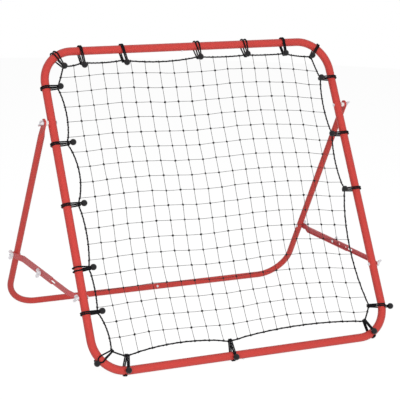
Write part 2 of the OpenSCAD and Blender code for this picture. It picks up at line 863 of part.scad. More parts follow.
wing_nut_frame(1);  // wing_nut_frame_right
wing_nut_leg(-1);  // wing_nut_leg_left
wing_nut_leg(1);  // wing_nut_leg_right
wing_nut_mid(-1);  // wing_nut_mid_left
wing_nut_mid(1);  // wing_nut_mid_right
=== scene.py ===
"""Pitch back rebounder: net, border rope, ball bungees, wing nuts and finishes.

Every piece is made in metres, in the frame's own place.
"""

import math
import random

import bmesh
import bpy
from bpy.props import FloatProperty, FloatVectorProperty, IntProperty, PointerProperty
from mathutils import Matrix, Vector


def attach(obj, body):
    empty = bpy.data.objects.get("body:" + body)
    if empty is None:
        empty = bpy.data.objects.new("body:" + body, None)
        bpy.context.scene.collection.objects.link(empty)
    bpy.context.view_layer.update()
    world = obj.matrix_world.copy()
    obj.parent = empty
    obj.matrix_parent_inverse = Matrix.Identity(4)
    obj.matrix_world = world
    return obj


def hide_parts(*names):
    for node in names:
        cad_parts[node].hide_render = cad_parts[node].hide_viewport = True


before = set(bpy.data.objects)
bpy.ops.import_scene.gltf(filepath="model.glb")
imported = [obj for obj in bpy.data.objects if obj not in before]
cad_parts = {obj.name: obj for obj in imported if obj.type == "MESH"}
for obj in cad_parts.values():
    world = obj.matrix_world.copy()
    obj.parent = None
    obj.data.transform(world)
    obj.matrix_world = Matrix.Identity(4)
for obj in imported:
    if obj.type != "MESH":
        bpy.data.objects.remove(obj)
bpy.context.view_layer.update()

bl_info = {
    "name": "Pitch Back Rebounder",
    "version": (1, 0, 0),
    "blender": (4, 5, 0),
    "location": "View3D > Sidebar > Rebounder",
    "description": "Nets, ropes, ball bungees, wing nuts and finishes for a ball rebounder",
    "category": "Object",
}

# ---- Sizes that the pieces share with the frame, in metres ------------------

FRAME_LEAN = math.radians(29.5)
FRAME_X = 0.4875
FRAME_TOP = 0.975
FRAME_BEND = 0.100
TUBE_R = 0.0125
PIVOT_UP = 0.755
LEG_LENGTH = 0.752
LEG_TUBE_R = 0.010
STRUT_ARM = 0.530
MID_BOLT_AT = 0.225
ROPE_R = 0.0022
CORD_R = 0.0023
BALL_R = 0.00975

# Round soft pieces, in a loop over the rope, and between a bungee's strands on the
# tube when it is drawn tight or stands open
SOFT_GAP = 0.0003
LOOP_SLACK = 0.0006
STRAND_SPACE = 0.0008
OPEN_SPACE = 0.0061

# From the tube's centre line to a cord and to a ball, between the two strands at the
# hook, and from the rope's centre line to a ball
CORD_PATH_R = TUBE_R + SOFT_GAP + CORD_R
BALL_PATH_R = TUBE_R + SOFT_GAP + BALL_R
HOOK_STRAND_GAP = 2 * CORD_R + 2 * SOFT_GAP
BALL_LIFT = ROPE_R + 2 * SOFT_GAP + BALL_R

# Where a ball lies round the tube, in degrees from the net to the front
FRONT_BALL = 112
OUTER_BALL = 150
NEAR_BALL = 84

# Where the frame, the leg and the struts stand, as the sizes above lead to
FRAME_Z = CORD_PATH_R + CORD_R
PIVOT_Y = PIVOT_UP * math.sin(FRAME_LEAN)
PIVOT_Z = FRAME_Z + PIVOT_UP * math.cos(FRAME_LEAN)
LEG_LEAN = math.acos((PIVOT_Z - LEG_TUBE_R) / LEG_LENGTH)
FRONT_Y = -BALL_PATH_R * math.sin(math.radians(FRONT_BALL) - FRAME_LEAN) - BALL_R
BACK_Y = PIVOT_Y + LEG_LENGTH * math.sin(LEG_LEAN) + LEG_TUBE_R
FRAME_Y = -(FRONT_Y + BACK_Y) / 2
STRUT_RUN = STRUT_ARM * Vector((
    math.sin(LEG_LEAN) + math.sin(FRAME_LEAN), math.cos(FRAME_LEAN) - math.cos(LEG_LEAN)
))
STRUT_LENGTH = STRUT_RUN.length
STRUT_SLOPE = math.atan2(STRUT_RUN.y, STRUT_RUN.x)

# Wing nuts: base distance from the stand's middle plane, and sizes
PIVOT_NUT_X = 0.5145
FRAME_NUT_X = 0.5020
LEG_NUT_X = 0.5243
MID_NUT_X = 0.51495
NUT_H = 0.009
NUT_HUB_R = 0.0055
NUT_BORE_R = 0.0033
WING_TIP_R = 0.0058
WING_TIP = Vector((0.0104, 0, NUT_H - 0.0004))
WING_ROOT = Vector((0.0030, 0, 0.0046))
WING_T = 0.0026

# How much wider a nut's hub is at its foot and at its top, and a wing's two lengths
# from tip to root: the share of the way and the change of size
HUB_FOOT, HUB_TOP = 1.26, 0.90
WING_LENGTHS = ((0.55, (0.80, 1.25, 0.80)), (0.45, (0.90, 1.30, 0.90)))

# Net: how far its belly reaches to the sides, the height of its middle and how far it
# reaches up and down from there, how much a knot strays, and how loose a twine is
# between two knots across, to the back and up
BELLY_OUT, BELLY_MIDDLE, BELLY_UP = 0.43, 0.49, 0.44
KNOT_STRAY = 0.0011
TWINE_SLACK = ((-0.0005, 0.0005), (-0.0004, 0.0004), (-0.0006, 0.0002))

# Knots: their shape as shares of a ball, how deep the twine's groove is as a share of
# the knot's size, and how much they turn, in degrees, and vary in size
KNOT_SHAPE = (0.78, 0.62, 0.92)
KNOT_GROOVE = 0.09
KNOT_TURN = 14
KNOT_GROWTH = (0.88, 1.12)

# Laid twine: its strands, the length of one turn and the depth of the lay
TWINE_LAY = {"strands": 3, "pitch": 0.004, "depth": 0.0002}
WHIPPING_R = 0.0006

# Faces round the net's twine, round the rope, and round the twine that ties them
TWINE_SIDES, ROPE_SIDES, TIE_SIDES = 6, 16, 5

# Rope: points between two hooks, then the distance between two rings of its mesh
ROPE_POINTS = 8
ROPE_STEP = 0.0024

# Lamps: the point that they face, and the place, size and power of each
LAMP_AIM = Vector((0, 0, 0.4))
LAMPS = {
    "key_lamp": ((-2.6, -4.4, 2.4), 2.4, 150.0),
    "fill_lamp": ((0.4, -4.6, 1.8), 2.0, 70.0),
    "top_lamp": ((0.4, 0.6, 4.2), 3.0, 20.0),
}


def in_frame():
    """The frame's own axes: X across, -Y to the front and Z up along the frame."""
    return Matrix.Translation((0, FRAME_Y, FRAME_Z)) @ Matrix.Rotation(-FRAME_LEAN, 4, "X")


def at_bar(x, up, inward):
    """Axes at a place on a bar: X towards the net, Y to the front, Z along the bar."""
    return (
        in_frame()
        @ Matrix.Translation((x, 0, up))
        @ Matrix.Rotation(-inward, 4, "Y")
        @ Matrix.Rotation(math.pi, 4, "X")
    )


def on_net(place):
    """A place in the net's plane, given across and up the frame."""
    return in_frame() @ Vector((place.x, 0, place.y))


def on_leg():
    """The leg's axes, from its pivot."""
    pivot = in_frame() @ Vector((0, 0, PIVOT_UP))
    return Matrix.Translation(pivot) @ Matrix.Rotation(LEG_LEAN, 4, "X")


def on_strut(along):
    """The strut's axes, this far from its frame bolt."""
    bolt = in_frame() @ Vector((0, 0, PIVOT_UP - STRUT_ARM))
    return (
        Matrix.Translation(bolt)
        @ Matrix.Rotation(STRUT_SLOPE, 4, "X")
        @ Matrix.Translation((0, along, 0))
    )


# ---- Settings ---------------------------------------------------------------


def metres(name, description, default, precision=4):
    """A length that can be set."""
    return FloatProperty(
        name=name, description=description, default=default, unit="LENGTH", precision=precision
    )


def degrees(name, description, default):
    """An angle that can be set."""
    return FloatProperty(
        name=name, description=description, default=math.radians(default), subtype="ANGLE"
    )


def number(name, description, default, least):
    """A whole number that can be set."""
    return IntProperty(name=name, description=description, default=default, min=least)


def hue(name, description, default):
    """A colour that can be set."""
    return FloatVectorProperty(
        name=name, description=description, default=default, subtype="COLOR", min=0, max=1
    )


class RebounderView(bpy.types.PropertyGroup):
    lens: FloatProperty(
        name="Focal length",
        description="Focal length of the camera",
        default=133.93,
        unit="CAMERA",
    )
    place: FloatVectorProperty(
        name="Camera place",
        description="Where the camera stands",
        default=(-1.9883, -4.0324, 1.5338),
        subtype="TRANSLATION",
        unit="LENGTH",
    )
    azimuth: degrees("Azimuth", "Direction of the camera round the stand, from the front", -26.1881)
    elevation: degrees("Elevation", "How far the camera looks down", 14.1138)
    roll: degrees("Roll", "How far the camera is turned about its own axis", 1.6701)


class RebounderNet(bpy.types.PropertyGroup):
    twines: number("Twines each way", "Number of inner twines across and up the net", 18, 4)
    pitch: metres("Mesh size", "Distance between two twines", 0.0465)
    first_row: metres("Lowest row", "Height of the lowest cross twine above the bottom bar", 0.098)
    twine_d: metres("Twine diameter", "Thickness of the net's twine", 0.0015, 5)
    knot_size: metres("Knot size", "Width of the knot where two twines cross", 0.0084, 5)
    skew: metres("Skew", "How far the columns lean along the net's height", 0.0166)
    head: metres("Head", "How far the top rows are drawn to the right", 0.0054)
    ripple: metres("Ripple", "How far the columns weave from side to side", 0.0018)
    wave: metres("Wave", "Height of the long waves in the cross twines", 0.0032)
    fall: metres("Fall", "How much lower the cross twines end on the right", 0.0111)
    belly: metres("Belly", "How far the middle of the net hangs back", 0.003)


class RebounderCords(bpy.types.PropertyGroup):
    braid_pitch: metres("Rope braid", "Length of one diamond of the rope's braid", 0.006)
    whip_pitch: metres(
        "Whipping", "Distance between two turns of the twine that laces the net to the rope", 0.0155
    )
    cord_sides: number("Cord sides", "Number of faces round a bungee cord", 12, 6)


class RebounderPaint(bpy.types.PropertyGroup):
    tube: hue("Tube red", "Powder coat of the frame and the leg", (0.550, 0.054, 0.045))
    strut: hue("Strut red", "Thin paint of the pressed struts", (0.62, 0.105, 0.110))
    zinc: hue("Zinc", "Plating of the nuts and bolts", (0.74, 0.735, 0.78))
    nylon: hue("Nylon", "Colour of the pivot spacers", (0.80, 0.78, 0.76))
    black: hue("Black", "Colour of the cords, the rope and the balls", (0.0045, 0.0045, 0.0055))
    twine: hue("Twine", "Colour of the net", (0.010, 0.010, 0.011))


# ---- Shader maths -----------------------------------------------------------


class Value:
    """A shader value. Python's operators on it add Math nodes."""

    def __init__(self, nodes, output):
        self.nodes = nodes
        self.output = output

    def math(self, operation, *values):
        """Adds a Math node."""
        settings = {"operation": operation}
        return self.nodes.node("ShaderNodeMath", settings, dict(enumerate(values)))

    def __add__(self, other):
        return self.math("ADD", self, other)

    __radd__ = __add__

    def __sub__(self, other):
        return self.math("SUBTRACT", self, other)

    def __rsub__(self, other):
        return self.math("SUBTRACT", other, self)

    def __mul__(self, other):
        return self.math("MULTIPLY", self, other)

    __rmul__ = __mul__

    def sine(self):
        return self.math("SINE", self)

    def larger(self, other):
        """The larger of two shares."""
        return self.math("MAXIMUM", self, other)


class Nodes:
    """The nodes of a material or a world."""

    def __init__(self, owner):
        owner.use_nodes = True
        self.tree = owner.node_tree
        self.tree.nodes.clear()

    def node(self, kind, settings, sockets, output=0):
        """Adds a node, sets it up, fills its sockets and returns one of its outputs."""
        node = self.tree.nodes.new(kind)
        for key, value in settings.items():
            if key == "stops":
                for stop, (place, grey) in zip(stop_slots(node, len(value)), value):
                    stop.position = place
                    stop.color = (grey, grey, grey, 1)
            else:
                setattr(node, key, value)
        for key, value in sockets.items():
            self.fill(node.inputs[key], value)
        return Value(self, node.outputs[output]) if node.outputs else None

    def fill(self, socket, value):
        """Links a socket to a shader value, or sets it to a plain one."""
        if isinstance(value, Value):
            self.tree.links.new(value.output, socket)
        else:
            socket.default_value = value

    def ray(self, kind):
        """1 for rays of this kind, such as Camera, and 0 for the others."""
        return self.node("ShaderNodeLightPath", {}, {}, f"Is {kind} Ray")

    def show(self, kind, share, first, second):
        """Ends the tree, at an output of this kind, in a mix of two surfaces."""
        mixed = self.node("ShaderNodeMixShader", {}, {0: share, 1: first, 2: second})
        self.node(kind, {}, {"Surface": mixed})


class Finish(Nodes):
    """One material: a Principled surface with the nodes that feed it."""

    def __init__(self, name):
        self.material = bpy.data.materials.new(name)
        super().__init__(self.material)
        self.surface = self.tree.nodes.new("ShaderNodeBsdfPrincipled")
        surface = Value(self, self.surface.outputs[0])
        self.node("ShaderNodeOutputMaterial", {}, {"Surface": surface})

    def set(self, **values):
        """Fills sockets of the surface: base_color=... is its Base Color."""
        for key, value in values.items():
            words = key.replace("_", " ").title().replace("Ior", "IOR")
            self.fill(self.surface.inputs[words], value)
        return self

    def place(self):
        """Object coordinates."""
        return self.node("ShaderNodeTexCoord", {}, {}, "Object")

    def along(self):
        """The piece's own map: U round a cord and V along it."""
        return self.node("ShaderNodeUVMap", {"uv_map": "run"}, {})

    def part(self, vector, axis):
        """One axis of a vector, by its name."""
        return self.node("ShaderNodeSeparateXYZ", {}, {0: vector}, axis)

    def noise(self, place, scale, detail=3.0, rough=0.5):
        return self.node(
            "ShaderNodeTexNoise",
            {},
            {"Vector": place, "Scale": scale, "Detail": detail, "Roughness": rough},
        )

    def mix(self, share, first, second):
        """A colour between two others."""
        return self.node(
            "ShaderNodeMix", {"data_type": "RGBA"}, {0: share, 6: first, 7: second}, 2
        )

    def ramp(self, value, stops):
        """A grey by stops of (place, grey)."""
        return self.node("ShaderNodeValToRGB", {"stops": stops}, {0: value})

    def bump(self, height, distance, strength=1.0, under=None):
        """A normal that follows a height, on top of the one under it."""
        sockets = {"Height": height, "Distance": distance, "Strength": strength}
        if under is not None:
            sockets["Normal"] = under
        return self.node("ShaderNodeBump", {}, sockets)


def stop_slots(node, count):
    """The ramp's colour stops, with as many as are asked for."""
    slots = node.color_ramp.elements
    while len(slots) < count:
        slots.new(0.5)
    return slots


def shade(colour, factor):
    """A colour made darker or lighter, as red, green, blue and alpha."""
    return (*(min(1.0, part * factor) for part in colour), 1.0)


# ---- Finishes ---------------------------------------------------------------


def powder_coat(name, colour, roughness):
    """Sprayed and baked paint: a fine orange peel, with faint clouding."""
    finish = Finish(name)
    place = finish.place()
    clouds = finish.noise(place, 9.0, 2.0)
    peel = finish.noise(place, 420.0, 2.0)
    tone = finish.mix(clouds, shade(colour, 0.93), shade(colour, 1.05))
    return finish.set(
        base_color=tone,
        roughness=roughness + 0.12 * (clouds - 0.5),
        specular_ior_level=0.3,
        normal=finish.bump(peel, 0.00004, 0.5),
    )


def zinc_plate(name, colour, roughness):
    """Bright zinc plating with a faint blue and straw tint and small pits."""
    finish = Finish(name)
    place = finish.place()
    tint = finish.ramp(finish.noise(place, 160.0, 2.0), [(0.38, 0.0), (0.62, 1.0)])
    grain = finish.noise(place, 1800.0, 4.0, 0.65)
    cool = shade(colour, 0.93)
    warm = (colour[0], colour[1] * 0.985, colour[2] * 0.94, 1.0)
    return finish.set(
        base_color=finish.mix(tint, cool, warm),
        metallic=0.45,
        roughness=roughness + 0.16 * (grain - 0.5),
        normal=finish.bump(grain, 0.00005, 0.5),
    )


def moulded_nylon(name, colour):
    """Moulded nylon, a little uneven in tone."""
    finish = Finish(name)
    grain = finish.noise(finish.place(), 900.0, 3.0)
    return finish.set(
        base_color=finish.mix(grain, shade(colour, 0.92), shade(colour, 1.04)),
        roughness=0.45 + 0.2 * (grain - 0.5),
        normal=finish.bump(grain, 0.00008, 0.5),
    )


def ball_plastic(name, colour):
    """Glossy black plastic, dulled by handling."""
    finish = Finish(name)
    place = finish.place()
    smear = finish.noise(place, 90.0, 3.0)
    grain = finish.noise(place, 1500.0, 2.0)
    return finish.set(
        base_color=finish.mix(smear, shade(colour, 0.8), shade(colour, 1.7)),
        roughness=0.34 + 0.22 * (smear - 0.4),
        specular_ior_level=0.3,
        normal=finish.bump(grain, 0.00004, 0.4),
    )


def braided(name, colour, pitch, depth, roughness, strands=8, highlight_gain=2.4):
    """A woven sleeve over a cord: two sets of strands wind round it. Painted shade darkens the
    grooves between the strands and a painted highlight lightens their crowns.
    """
    finish = Finish(name)
    along = finish.along()
    turns = finish.part(along, "X") * (strands * math.pi)
    length = finish.part(along, "Y") * (math.pi / pitch)
    left, right = (turns + length).sine(), (turns - length).sine()
    weave = left * left * (right * right)
    fibre = finish.noise(finish.place(), 2200.0, 2.0)
    # Painted shade in the grooves between the strands, painted highlight on their crowns
    tone = finish.mix(weave, shade(colour, 0.6), shade(colour, highlight_gain))
    return finish.set(
        # Random fibre specks, mixed towards the painted highlight's colour: uneven fibre tone with
        # painted sheen
        base_color=finish.mix(fibre * 0.5, tone, shade(colour, highlight_gain * 1.3)),
        roughness=roughness - 0.12 * weave,
        specular_ior_level=0.12,
        normal=finish.bump(fibre, depth * 0.3, 0.5, finish.bump(weave, depth)),
    )


def twisted(name, colour, strands, pitch, depth):
    """A laid twine: its strands wind one way. Painted shade darkens the grooves of the lay and a
    painted highlight lightens the strands' crowns.
    """
    finish = Finish(name)
    along = finish.along()
    turns = finish.part(along, "X") * (2 * math.pi * strands)
    length = finish.part(along, "Y") * (2 * math.pi / pitch)
    lay = (turns + length).sine()
    fibre = finish.noise(finish.place(), 2600.0, 2.0)
    # Painted shade in the grooves of the lay, painted highlight on the strands' crowns
    tone = finish.mix(0.5 + 0.5 * lay, shade(colour, 0.6), shade(colour, 1.8))
    return finish.set(
        # Random fibre specks, mixed towards a lighter colour: uneven fibre tone with painted sheen
        base_color=finish.mix(fibre * 0.4, tone, shade(colour, 3.0)),
        roughness=0.62 + 0.1 * fibre,
        normal=finish.bump(lay, depth),
    )


def knotted(name, colour):
    """The net's knots, where the twine's lay can't be told."""
    finish = Finish(name)
    fibre = finish.noise(finish.place(), 1400.0, 3.0)
    return finish.set(
        base_color=finish.mix(fibre, shade(colour, 0.4), shade(colour, 1.2)),
        roughness=0.66 + 0.1 * fibre,
        normal=finish.bump(fibre, 0.0002, 0.8),
    )


def finish_nodes(material, *starts):
    """Gives every frame node whose name starts so this material."""
    done = 0
    for name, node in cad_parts.items():
        if name.startswith(starts):
            node.data.materials.clear()
            node.data.materials.append(material)
            done += 1
    if not done:
        raise RuntimeError(f"no frame node starts with {starts}")


# ---- Making pieces ----------------------------------------------------------


def only(obj):
    """Leaves this object alone selected and active."""
    bpy.ops.object.select_all(action="DESELECT")
    obj.select_set(True)
    bpy.context.view_layer.objects.active = obj
    return obj


def start(primitive, **values):
    """Adds a primitive with nothing else selected."""
    bpy.ops.object.select_all(action="DESELECT")
    primitive(**values)
    return bpy.context.object


def pick(obj, faces=None, edges=None):
    """Selects the faces or edges of the open mesh that pass a test, and nothing else."""
    bpy.ops.mesh.select_mode(type="FACE" if faces else "EDGE")
    bpy.ops.mesh.select_all(action="DESELECT")
    mesh = bmesh.from_edit_mesh(obj.data)
    parts, test = (mesh.faces, faces) if faces else (mesh.edges, edges)
    found = [part for part in parts if test(part)]
    if not found:
        raise RuntimeError(f"nothing to pick on {obj.name}")
    for part in found:
        part.select_set(True)
    mesh.select_flush_mode()
    bmesh.update_edit_mesh(obj.data)


def close_edit():
    """Turns every face outwards and leaves edit mode."""
    bpy.ops.mesh.select_all(action="SELECT")
    bpy.ops.mesh.normals_make_consistent(inside=False)
    bpy.ops.object.mode_set(mode="OBJECT")


def modify(obj, kind, **settings):
    """Adds a modifier and applies it."""
    only(obj)
    modifier = obj.modifiers.new(kind.title(), kind)
    for key, value in settings.items():
        setattr(modifier, key, value)
    bpy.ops.object.modifier_apply(modifier=modifier.name)


def copy_of(obj, matrix, name):
    """A copy with its own mesh, put at its place in the mesh, with faces outwards."""
    new = bpy.data.objects.new(name, obj.data.copy())
    new.data.transform(matrix)
    if matrix.determinant() < 0:
        new.data.flip_normals()
    bpy.context.collection.objects.link(new)
    return new


def joined(pieces, name):
    """Several objects made one."""
    bpy.ops.object.select_all(action="DESELECT")
    for piece in pieces:
        piece.select_set(True)
    bpy.context.view_layer.objects.active = pieces[0]
    bpy.ops.object.join()
    pieces[0].name = name
    return pieces[0]


def put(obj, body, slot, material, *replaced):
    """Finishes a piece: its material, what it rides on and what it stands for."""
    obj.data.materials.clear()
    obj.data.materials.append(material)
    only(obj)
    bpy.ops.object.shade_smooth_by_angle(angle=math.radians(40))
    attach(obj, body)
    if replaced:
        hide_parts(*replaced)
    return obj


def rounded(points, steps, closed=False):
    """A smooth line through the points, with this many steps between two."""
    count = len(points)
    line = []
    for i in range(count if closed else count - 1):
        if closed:
            a, b, c, d = (points[(i + k - 1) % count] for k in range(4))
        else:
            a, b, c, d = (points[min(max(i + k - 1, 0), count - 1)] for k in range(4))
        for k in range(steps):
            t = k / steps
            line.append(
                0.5
                * (
                    2 * b
                    + (c - a) * t
                    + (2 * a - 5 * b + 4 * c - d) * t**2
                    + (3 * b - a - 3 * c + d) * t**3
                )
            )
    return line if closed else line + [points[-1]]


class Skein:
    """Swept cords in one mesh. Their map runs U round and V along, V in metres."""

    def __init__(self):
        self.points = []
        self.faces = []
        self.map = []

    def sweep(self, path, radius, sides, closed=False, swell=None):
        """Adds a cord. swell(turn, length) is the share of the radius at a place."""
        count = len(path)
        first = len(self.points)
        ahead, side = None, None
        length = 0.0
        lengths = []
        for i, point in enumerate(path):
            if closed:
                ahead = (path[(i + 1) % count] - path[i - 1]).normalized()
            else:
                ahead = (path[min(i + 1, count - 1)] - path[max(i - 1, 0)]).normalized()
            if side is None:
                side = ahead.orthogonal()
            side = (side - side.project(ahead)).normalized()
            up = ahead.cross(side)
            if i:
                length += (point - path[i - 1]).length
            lengths.append(length)
            for k in range(sides):
                turn = 2 * math.pi * k / sides
                r = radius * (swell(turn, length) if swell else 1.0)
                self.points.append(point + r * (math.cos(turn) * side + math.sin(turn) * up))
        whole = length + (path[0] - path[-1]).length
        for i in range(count if closed else count - 1):
            j = (i + 1) % count
            low, high = lengths[i], lengths[j] if j else whole
            for k in range(sides):
                m = (k + 1) % sides
                self.faces.append(
                    tuple(first + n for n in (
                        i * sides + k, i * sides + m, j * sides + m, j * sides + k
                    ))
                )
                left, right = k / sides, (k + 1) / sides
                self.map += [(left, low), (right, low), (right, high), (left, high)]
        if not closed:
            last = first + (count - 1) * sides
            self.faces.append(tuple(first + k for k in reversed(range(sides))))
            self.faces.append(tuple(last + k for k in range(sides)))
            self.map += [(0.5, 0.0)] * sides + [(0.5, length)] * sides

    def piece(self, name):
        """Makes the cords one object."""
        mesh = bpy.data.meshes.new(name)
        mesh.from_pydata([tuple(p) for p in self.points], [], self.faces)
        layer = mesh.uv_layers.new(name="run")
        for loop, place in zip(layer.data, self.map):
            loop.uv = place
        mesh.validate()
        obj = bpy.data.objects.new(name, mesh)
        bpy.context.collection.objects.link(obj)
        return obj


# ---- Where the bungees are --------------------------------------------------


def turned(reach, turn):
    """The flat place this far from an axis, at an angle in degrees."""
    turn = math.radians(turn)
    return Vector((reach * math.cos(turn), reach * math.sin(turn)))


class Bungee:
    """One ball bungee: its place on a bar, its hook on the rope and its ball.

    hook is how far the rope is from the bar's centre line, and lean is how far along the
    bar the rope draws it. A ball lies in front of the hook or, given ball_turn, against
    the tube at that angle: past it by past, and beside it along the bar by beside. space
    is between the two strands on the tube. bow is how far the net draws the rope in
    between this hook and the next one clockwise.
    """

    def __init__(
        self, node, x, up, inward, hook,
        past=0.0, beside=0.0, space=STRAND_SPACE, bow=0.0, ball_turn=None, lean=0.0,
    ):
        self.node = node
        self.x, self.up, self.inward = x, up, inward
        self.hook = hook
        self.past, self.beside, self.space, self.bow = past, beside, space, bow
        self.ball_turn, self.lean = ball_turn, lean

    def matrix(self):
        """The axes at its place on the bar."""
        return at_bar(self.x, self.up, math.radians(self.inward))

    def hook_point(self):
        """Where it holds the rope, across and up the frame."""
        inward = turned(1, self.inward)
        along = Vector((inward.y, -inward.x))
        return Vector((self.x, self.up)) + self.hook * inward + self.lean * along

    def on_tube(self, turn):
        """A strand's point round the tube, at an angle in degrees."""
        return Vector((*turned(CORD_PATH_R, turn), CORD_R + self.space / 2))

    def on_rope(self, turn):
        """A strand's point round the rope, at an angle in degrees."""
        out, front = turned(ROPE_R + LOOP_SLACK + CORD_R, turn)
        return Vector((self.hook + out, front, HOOK_STRAND_GAP / 2))

    def ball(self):
        """The middle of the ball."""
        if self.ball_turn is None:
            return Vector((self.hook + self.past, BALL_LIFT, self.beside))
        return Vector((*turned(BALL_PATH_R + self.past, self.ball_turn), self.beside))

    def strand(self):
        """One of the two strands, from the ball to the end of the loop."""
        if self.ball_turn is None:
            neck = Vector((
                self.hook + self.past - BALL_R - SOFT_GAP, BALL_LIFT, HOOK_STRAND_GAP / 2
            ))
            return (
                [neck]
                + [self.on_tube(turn) for turn in range(90, 259, 24)]
                + [self.on_tube(278)]
                + [self.on_rope(turn) for turn in range(-105, -14, 30)]
            )
        return (
            [self.on_tube(turn) for turn in range(self.ball_turn - 36, 75, -18)]
            + [self.on_rope(turn) for turn in range(90, -91, -30)]
            + [self.on_tube(turn) for turn in range(-78, self.ball_turn - 317, -24)]
        )

    def neck(self):
        """The direction from the middle of the ball to where its cord comes out."""
        first = self.strand()[0]
        return Vector((first.x, first.y, self.beside)) - self.ball()

    def path(self):
        """Both strands, out of the ball, round the loop's end and back into it."""
        near = self.strand()
        far = [point * Vector((1, 1, -1)) for point in near]
        root = self.ball() + 0.6 * BALL_R * self.neck().normalized()
        for strand, side in ((near, CORD_R), (far, -CORD_R)):
            strand[0] = strand[0] + Vector((0, 0, self.beside))
            strand.insert(0, root + Vector((0, 0, side)))
        end = Vector((near[-1].x, near[-1].y, 0))
        path = far + [end] + near[::-1]
        return [self.leant(point) for point in path]

    def leant(self, point):
        """The point as the leaning hook draws it along the bar."""
        share = min(1, max(0, (point.x - TUBE_R) / (self.hook - TUBE_R)))
        return point + Vector((0, 0, self.lean * share))


def bend_bungee(node, across, up, turn, hook, **lie):
    """A bungee on a corner bend, at an angle about the bend's centre."""
    middle = FRAME_TOP - FRAME_BEND if up > 0 else FRAME_BEND
    place = Vector((across * (FRAME_X - FRAME_BEND), middle)) + turned(FRAME_BEND, turn)
    return Bungee(node, place.x, place.y, turn + 180, hook, **lie)


TOP_LEFT = bend_bungee(
    "bungee_top_left_corner", -1, 1, 122, 0.037,
    past=0.002, beside=0.002, space=OPEN_SPACE, bow=0.004,
)
TOP_RIGHT = bend_bungee(
    "bungee_top_right_corner", 1, 1, 48.7, 0.037, past=-0.001, bow=0.001
)
BOTTOM_LEFT = bend_bungee(
    "bungee_bottom_left_corner", -1, -1, 216, 0.042,
    ball_turn=OUTER_BALL, space=0.012, lean=0.006, bow=0.009,
)
BOTTOM_RIGHT = bend_bungee(
    "bungee_bottom_right_corner", 1, -1, -66, 0.042,
    ball_turn=NEAR_BALL, lean=0.0035, bow=0.016,
)
TOP = [
    Bungee(f"bungee_top_{i}", x, FRAME_TOP, -90, *lie)
    for i, x, *lie in (
        (1, -0.3600, 0.038, 0.011, -0.003, STRAND_SPACE, 0.004),
        (2, -0.2244, 0.036, 0.011, -0.006, STRAND_SPACE, 0.010),
        (3, 0.0287, 0.036, 0.004, -0.003, OPEN_SPACE, 0.003),
        (4, 0.1953, 0.037, 0.000, -0.002, OPEN_SPACE, 0.002),
        (5, 0.3340, 0.038, 0.002, 0.000, STRAND_SPACE, 0.003),
    )
]
LEFT = [
    Bungee(f"bungee_left_{i}", -FRAME_X, up, 0, *lie)
    for i, up, *lie in (
        (1, 0.8621, 0.037, 0.005, 0.0, STRAND_SPACE, 0.001),
        (2, 0.6870, 0.037, 0.013, 0.0, STRAND_SPACE, 0.013),
        (3, 0.5000, 0.037, 0.013, 0.0, STRAND_SPACE, 0.020),
        (4, 0.3080, 0.034, 0.009, 0.0, OPEN_SPACE, 0.010),
        (5, 0.1780, 0.036, 0.010, 0.0, STRAND_SPACE, 0.005),
    )
]
RIGHT = [
    Bungee(f"bungee_right_{i}", FRAME_X, up, 180, hook, past, bow=bow)
    for i, up, hook, past, bow in (
        (1, 0.8470, 0.041, 0.002, 0.010),
        (2, 0.6570, 0.043, 0.006, 0.010),
        (3, 0.4720, 0.043, 0.004, 0.024),
    )
] + [
    bend_bungee(
        "bungee_right_4", 1, -1, -5.7, 0.046,
        past=0.004, beside=-0.005, ball_turn=OUTER_BALL, bow=-0.001,
    )
]
BOTTOM = [
    bend_bungee(
        "bungee_bottom_1", -1, -1, 262.8, 0.0415,
        beside=0.003, ball_turn=100, lean=0.007, bow=-0.001,
    ),
    Bungee("bungee_bottom_2", -0.054, 0, 90, 0.044, ball_turn=FRONT_BALL, bow=0.017),
]
ROUND_THE_NET = (
    [TOP_LEFT] + TOP + [TOP_RIGHT] + RIGHT + [BOTTOM_RIGHT] + BOTTOM[::-1]
    + [BOTTOM_LEFT] + LEFT[::-1]
)
BALL_GROUPS = {
    "bungee_balls_top": TOP + [TOP_LEFT, TOP_RIGHT],
    "bungee_balls_left": LEFT,
    "bungee_balls_bottom": BOTTOM + [BOTTOM_LEFT, BOTTOM_RIGHT],
    "bungee_balls_right": RIGHT,
}


def rope_line():
    """The rope round the net, across and up the frame, drawn in between its hooks."""
    line = []
    for bungee, ahead in zip(ROUND_THE_NET, ROUND_THE_NET[1:] + ROUND_THE_NET[:1]):
        start, run = bungee.hook_point(), ahead.hook_point() - bungee.hook_point()
        inward = Vector((run.y, -run.x)).normalized()
        for k in range(ROPE_POINTS):
            t = k / ROPE_POINTS
            line.append(start + t * run + inward * (4 * t * (1 - t) * bungee.bow))
    return line


def crossings(line, axis, level):
    """The first and last place where a closed line crosses a level, with its direction."""
    found = []
    for a, b in zip(line, line[1:] + line[:1]):
        if (a[axis] - level) * (b[axis] - level) < 0:
            t = (level - a[axis]) / (b[axis] - a[axis])
            found.append((a.lerp(b, t), (b - a).normalized()))
    found.sort(key=lambda crossing: crossing[0][1 - axis])
    return found[0], found[-1]


# ---- Operators --------------------------------------------------------------


class REBOUNDER_OT_camera(bpy.types.Operator):
    """Puts up the camera"""

    bl_idname = "rebounder.camera"
    bl_label = "Camera"

    def execute(self, context):
        view = context.scene.rebounder_view
        camera = bpy.data.cameras.new("camera")
        camera.lens = view.lens
        camera.clip_end = 100
        obj = bpy.data.objects.new("camera", camera)
        context.collection.objects.link(obj)
        obj.matrix_world = (
            Matrix.Translation(view.place)
            @ Matrix.Rotation(view.azimuth, 4, "Z")
            @ Matrix.Rotation(math.pi / 2 - view.elevation, 4, "X")
            @ Matrix.Rotation(view.roll, 4, "Z")
        )
        context.scene.camera = obj
        return {"FINISHED"}


